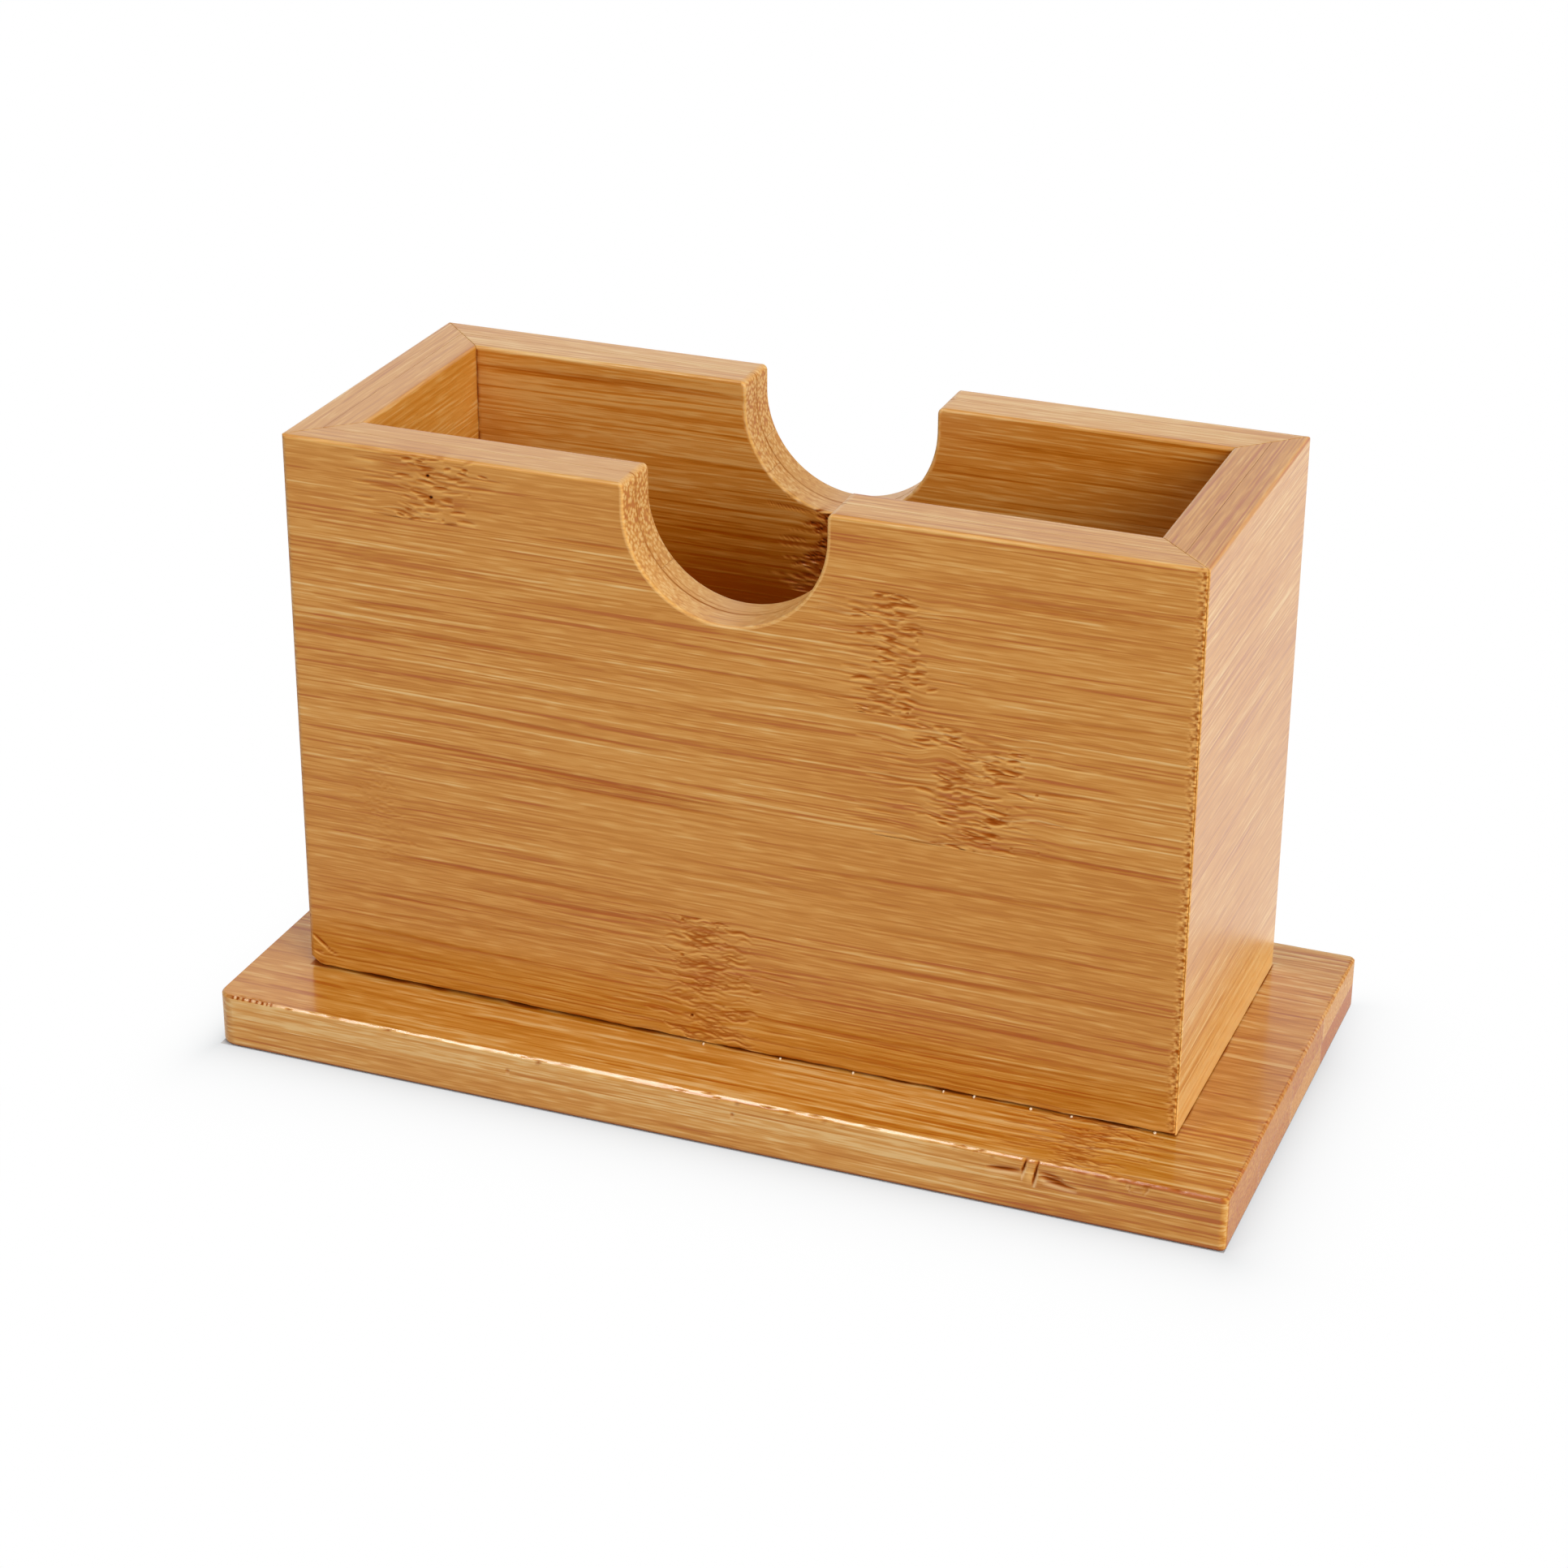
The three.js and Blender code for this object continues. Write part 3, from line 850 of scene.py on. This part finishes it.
def lacquered_bamboo(name, tones, gloss, broad, bundles, soak, contrast):
    """Steamed bamboo, planed and clear-lacquered.

    The eye sees long fine fibres, tan and brown by turns, that show as golden dots where the wood is cut
    across them, and a smooth clear coat over all of it. gloss is the coat's roughness, broad is how much
    broader the fibres are on the face, bundles is how clearly the dots show, soak is how much of the coat a
    cross cut takes up, and contrast is how strongly the fibres differ.
    """
    finish, tree = new_finish(name)
    fibre = add(tree, "ShaderNodeAttribute", attribute_name="fibre").outputs["Vector"]
    tone, groove, pale, worn, cut, shade = (
        add(tree, "ShaderNodeAttribute", attribute_name=label).outputs["Fac"]
        for label in ("tone", "groove", "pale", "worn", "cut", "shade")
    )

    # Fibres wander by about half a millimetre over 60 mm, so each one comes up at the face and goes under
    slow = add(tree, "ShaderNodeVectorMath", {0: fibre, 1: (1 / 60, 1 / 9, 1 / 9)}, operation="MULTIPLY")
    wander = add(tree, "ShaderNodeTexNoise", {"Vector": slow.outputs[0], "Scale": 1, "Detail": 1})
    sway = add(
        tree, "ShaderNodeVectorMath", {0: wander.outputs["Color"], 1: (0, 0.9, 0.5), 2: fibre},
        operation="MULTIPLY_ADD",
    ).outputs[0]

    # Length and thickness in mm of: bands, brown lines, tan lines, fibres, pale flecks
    layers = []
    grains = ((90, 4.5, 1), (55, 0.46, 0), (45, 0.46, 0), (28, 0.42, 1), (4.5, 0.36, 0))
    for length, thick, detail in grains:
        scale = (1 / length, 1 / (thick * broad), 1 / thick)
        stretched = add(tree, "ShaderNodeVectorMath", {0: sway, 1: scale}, operation="MULTIPLY")
        noise = add(
            tree, "ShaderNodeTexNoise", {"Vector": stretched.outputs[0], "Scale": 1, "Detail": detail}
        )
        layers.append(noise.outputs["Fac"])
    band, brown, tan, fine, fleck = layers
    lines = [
        add(
            tree, "ShaderNodeMapRange", {"Value": layer, "From Min": low, "From Max": high},
            interpolation_type="SMOOTHSTEP",
        ).outputs[0]
        for layer, low, high in ((brown, 0.5, 0.68), (tan, 0.52, 0.7), (fleck, 0.45, 0.75))
    ]

    # Fibre bundles 0.65 mm apart: dots on a cross cut
    scale = (1 / 60, 1 / 0.65, 1 / 0.65)
    stretched = add(tree, "ShaderNodeVectorMath", {0: sway, 1: scale}, operation="MULTIPLY")
    bundle = add(tree, "ShaderNodeTexVoronoi", {"Vector": stretched.outputs[0], "Scale": 1})
    dots = weighted_sum(tree, 0.6, [(bundle.outputs["Distance"], -1.6)])
    square = add(tree, "ShaderNodeMath", {0: cut, 1: 3.0}, operation="POWER").outputs[0]
    dots = add(tree, "ShaderNodeMath", {0: dots, 1: square}, operation="MULTIPLY").outputs[0]

    # Added up, these are about 0 on average. They show less where the wood is cut across.
    weights = ((band, 0.3), (lines[0], -0.32), (lines[1], 0.26), (fine, 0.7), (lines[2], 0.2))
    grain = weighted_sum(tree, -0.55, weights)
    shown = weighted_sum(tree, contrast, [(square, -0.6 * contrast)])
    value = weighted_sum(tree, 0.505, ((tone, 1), (grain, shown), (dots, bundles), (cut, 0.25)))
    ramp = add(tree, "ShaderNodeValToRGB", {"Fac": value})
    stops = ramp.color_ramp.elements
    for n, (place, tint) in enumerate(zip((0.0, 0.3, 0.5, 0.7, 1.0), tones)):
        stop = stops[n] if n < 2 else stops.new(place)
        stop.position = place
        stop.color = linear(tint)
    colour = ramp.outputs["Color"]

    # Torn wood is pale or golden, and so are painted highlights and painted light. Grooves and painted
    # shade are brown, painted shade makes the inside redder, and holes and painted contact shadow are
    # nearly black
    hole_and_contact_shadow = weighted_sum(tree, -2, [(groove, 2)], clamped=True)
    tints = (
        (pale, "#E6BC84", "MIX"), (worn, "#E6AE5C", "MIX"), (groove, "#964604", "MIX"),
        (shade, "#FFE5BE", "MULTIPLY"), (hole_and_contact_shadow, "#2E1503", "MIX"),
    )
    for amount, tint, way in tints:
        colour = add(
            tree, "ShaderNodeMix", {0: amount, 6: colour, 7: linear(tint)}, data_type="RGBA", blend_type=way
        ).outputs[2]

    # Cut fibres, grooves and the painted shade that shares their mark are rougher and take the coat up
    rough = weighted_sum(tree, 0.35, ((fine, 0.2), (cut, 0.3), (groove, 0.4)))
    film = weighted_sum(tree, 1, ((cut, -soak), (groove, -1)), clamped=True)
    bump = add(tree, "ShaderNodeBump", {"Strength": 0.5, "Distance": 0.06 * MM, "Height": value})
    shader = add(
        tree, "ShaderNodeBsdfPrincipled",
        {
            "Base Color": colour, "Roughness": rough, "Normal": bump.outputs[0],
            "IOR": 1.26, "Coat Weight": film, "Coat Roughness": gloss, "Coat IOR": 1.42,
        },
    )
    add(tree, "ShaderNodeOutputMaterial", {"Surface": shader.outputs[0]})
    return finish


def dried_glue():
    """White wood glue, squeezed out and dried. The eye sees small hazy beads, slightly yellow."""
    finish, tree = new_finish("dried_wood_glue_squeezed_out")
    place = add(tree, "ShaderNodeTexCoord").outputs["Object"]
    haze = add(tree, "ShaderNodeTexNoise", {"Vector": place, "Scale": 1 / (0.5 * MM), "Detail": 1})
    colour = add(
        tree, "ShaderNodeMix", {0: haze.outputs["Fac"], 6: linear("#DDBE94"), 7: linear("#F4E6CC")},
        data_type="RGBA",
    )
    shader = add(tree, "ShaderNodeBsdfPrincipled", {"Base Color": colour.outputs[2], "Roughness": 0.4})
    add(tree, "ShaderNodeOutputMaterial", {"Surface": shader.outputs[0]})
    return finish


HONEY = ("#A85600", "#B67319", "#C38330", "#CC9243", "#DAB070")  # darkest fibre to palest
WALL_LACQUER = {"gloss": 0.32, "broad": 1, "bundles": 1.5, "soak": 0.8, "contrast": 1.05}
BASE_LACQUER = {"gloss": 0.16, "broad": 1.6, "bundles": 0.2, "soak": 0.5, "contrast": 1.3}

wall_finishes, base_finishes = {}, {}
for slot in sorted(set(SLOTS.values())):
    wall_finishes[slot] = lacquered_bamboo(f"{slot}_planed_satin_lacquer", HONEY, **WALL_LACQUER)
    base_finishes[slot] = lacquered_bamboo(f"{slot}_planed_gloss_lacquer", HONEY, **BASE_LACQUER)

for strip in NODES:
    slot = SLOTS[strip]
    if strip in BASE_NODES:
        piece = base_strip(strip, base_finishes[slot])
    else:
        wall = strip.split("_outer_")[0].split("_inner_")[0]
        piece = wall_strip(strip, wall, wall_finishes[slot])
    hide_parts(strip)
glue_specks(dried_glue())


# Studio: a white floor that keeps the shadow, a white surround, a key light that shines and five fills

FLOOR_REACH = 3000
FLOOR_GAP = 0.05  # below the base
SHADOW_REACH = 5.5  # how far from the base its shadow has faded to a third
LIT_POINT = (0, 0, 50)


def seen_directly(tree):
    """1 for a ray from the camera or off a mirror, 0 for one that only carries light."""
    path = add(tree, "ShaderNodeLightPath")
    seen = path.outputs["Is Camera Ray"]
    for kind in ("Is Glossy Ray", "Is Transmission Ray"):
        seen = add(tree, "ShaderNodeMath", {0: seen, 1: path.outputs[kind]}, operation="MAXIMUM").outputs[0]
    return seen


def floor_as_seen(tree):
    """The floor that the camera sees: plain white, and paper with the box's shadow close round the base.

    That paper is partly shaded and partly glows. The shaded part is a little warm and the glow a little
    cool, so that the bamboo's own light doesn't tint the shadow. The paper's share falls as
    exp(-away / reach) with the distance from the base, stretched by side, and is less behind the box.
    """
    shaded = add(tree, "ShaderNodeBsdfDiffuse", {"Color": (0.2, 0.18, 0.168, 1)})
    glow = add(tree, "ShaderNodeEmission", {"Color": (0.585, 0.620, 0.640, 1)})
    near = add(tree, "ShaderNodeAddShader", {0: shaded.outputs[0], 1: glow.outputs[0]})
    white = add(tree, "ShaderNodeEmission", {"Color": linear("#FFFFFF")})
    place = add(tree, "ShaderNodeTexCoord").outputs["Object"]
    away = (0, 0, 0)
    for side, stretch in ((1, (1.15, 2, 0)), (-1, (1.9, 1, 0))):
        beyond = add(tree, "ShaderNodeVectorMath", {0: place, 1: (side, side, 0)}, operation="MULTIPLY")
        for step, edge in (("SUBTRACT", (*(base_half[:2] * MM), 0)), ("MAXIMUM", (0, 0, 0))):
            beyond = add(tree, "ShaderNodeVectorMath", {0: beyond.outputs[0], 1: edge}, operation=step)
        away = add(
            tree, "ShaderNodeVectorMath", {0: beyond.outputs[0], 1: stretch, 2: away},
            operation="MULTIPLY_ADD",
        ).outputs[0]
    away = add(tree, "ShaderNodeVectorMath", {0: away}, operation="LENGTH").outputs["Value"]
    share = add(
        tree, "ShaderNodeMath", {0: away, 1: -1 / (SHADOW_REACH * MM)}, operation="MULTIPLY"
    ).outputs[0]
    share = add(tree, "ShaderNodeMath", {0: share}, operation="EXPONENT").outputs[0]
    depth = add(tree, "ShaderNodeSeparateXYZ", {0: place}).outputs["Y"]
    behind = add(
        tree, "ShaderNodeMapRange",
        {"Value": depth, "From Min": 20 * MM, "From Max": 44 * MM, "To Min": 1, "To Max": 0.4},
    ).outputs[0]
    share = add(tree, "ShaderNodeMath", {0: share, 1: behind}, operation="MULTIPLY").outputs[0]
    return add(tree, "ShaderNodeMixShader", {0: share, 1: white.outputs[0], 2: near.outputs[0]}).outputs[0]


def paper_sheet(name, half_x, half_y, height, glowing):
    """A flat sheet of matt white paper. One that is glowing is seen as the studio's floor."""
    corners = np.array([(-1, -1), (1, -1), (1, 1), (-1, 1)]) * (half_x, half_y) * MM
    mesh = bpy.data.meshes.new(name)
    mesh.from_pydata([(*corner, height * MM) for corner in corners.tolist()], [], [(0, 1, 2, 3)])
    finish, tree = new_finish(f"{name}_matt_paper")
    surface = add(tree, "ShaderNodeBsdfDiffuse", {"Color": linear("#CCCCCC")}).outputs[0]
    if glowing:
        surface = add(
            tree, "ShaderNodeMixShader", {0: seen_directly(tree), 1: surface, 2: floor_as_seen(tree)}
        ).outputs[0]
    add(tree, "ShaderNodeOutputMaterial", {"Surface": surface})
    mesh.materials.append(finish)
    sheet = put_in_scene(name, mesh)


def studio_surround(strength):
    """White all round: strength 1 where it is seen or reflected, and a softer level as light."""
    world = bpy.data.worlds.new("white_surround")
    bpy.context.scene.world = world
    world.use_nodes = True
    tree = world.node_tree
    tree.nodes.clear()
    level = weighted_sum(tree, strength, [(seen_directly(tree), 1 - strength)])
    light = add(tree, "ShaderNodeBackground", {"Color": linear("#FFFFFF"), "Strength": level})
    add(tree, "ShaderNodeOutputWorld", {"Surface": light.outputs[0]})


def soft_light(name, place, width, height, watts, turn=0, shines=False):
    """A soft box of a width and height at a place, in mm, facing the napkin box.

    It is turned by degrees about its beam, and only one that shines is seen in the lacquer.
    """
    lamp = bpy.data.lights.new(name, "AREA")
    lamp.shape = "RECTANGLE"
    lamp.size = width * MM
    lamp.size_y = height * MM
    lamp.energy = watts
    light = put_in_scene(name, lamp)
    light.location = Vector(place) * MM
    light.visible_glossy = shines
    aim = Vector(LIT_POINT) * MM - light.location
    beam = aim.to_track_quat("-Z", "Y").to_matrix() @ Matrix.Rotation(math.radians(turn), 3, "Z")
    light.rotation_euler = beam.to_euler()


def photo_camera(target, azimuth, elevation, roll, distance, lens):
    """A camera on a sphere round the target, in mm and degrees, turned by roll about its line of sight."""
    data = bpy.data.cameras.new("photo_camera")
    data.lens = lens
    data.sensor_width = 36
    data.clip_start, data.clip_end = 0.01, 20
    camera = put_in_scene("photo_camera", data)
    a, e, r = (math.radians(v) for v in (azimuth, elevation, roll))
    away = Vector((math.sin(a) * math.cos(e), -math.cos(a) * math.cos(e), math.sin(e)))
    tilt = Matrix.Rotation(math.pi / 2 - e, 4, "X") @ Matrix.Rotation(r, 4, "Z")
    turn = Matrix.Rotation(a, 4, "Z") @ tilt
    camera.matrix_world = Matrix.Translation((Vector(target) + distance * away) * MM) @ turn
    bpy.context.scene.camera = camera


paper_sheet("studio_floor", FLOOR_REACH, FLOOR_REACH, base_low[2] - FLOOR_GAP, True)
paper_sheet("floor_under_base", *(base_half[:2] - 0.2), base_low[2] - 0.8 * FLOOR_GAP, False)
studio_surround(0.1)
soft_light("key_light", (-1010, -1510, 2355), 800, 220, 14.5, turn=29, shines=True)
soft_light("top_light", (0, 100, 3000), 2000, 2000, 25)
soft_light("front_light", (2050, -1720, 1360), 1600, 1600, 52)
soft_light("right_light", (2850, -450, 860), 1800, 1800, 45)
soft_light("left_light", (-2040, -1800, 1250), 1600, 1600, 13)
soft_light("back_light", (-1400, 2500, 650), 1600, 1200, 23)
photo_camera(
    (-0.906, -2.0, 45.415), azimuth=21.135, elevation=25.596, roll=0.349, distance=587, lens=83.084
)
bpy.context.scene.view_settings.view_transform = "Standard"
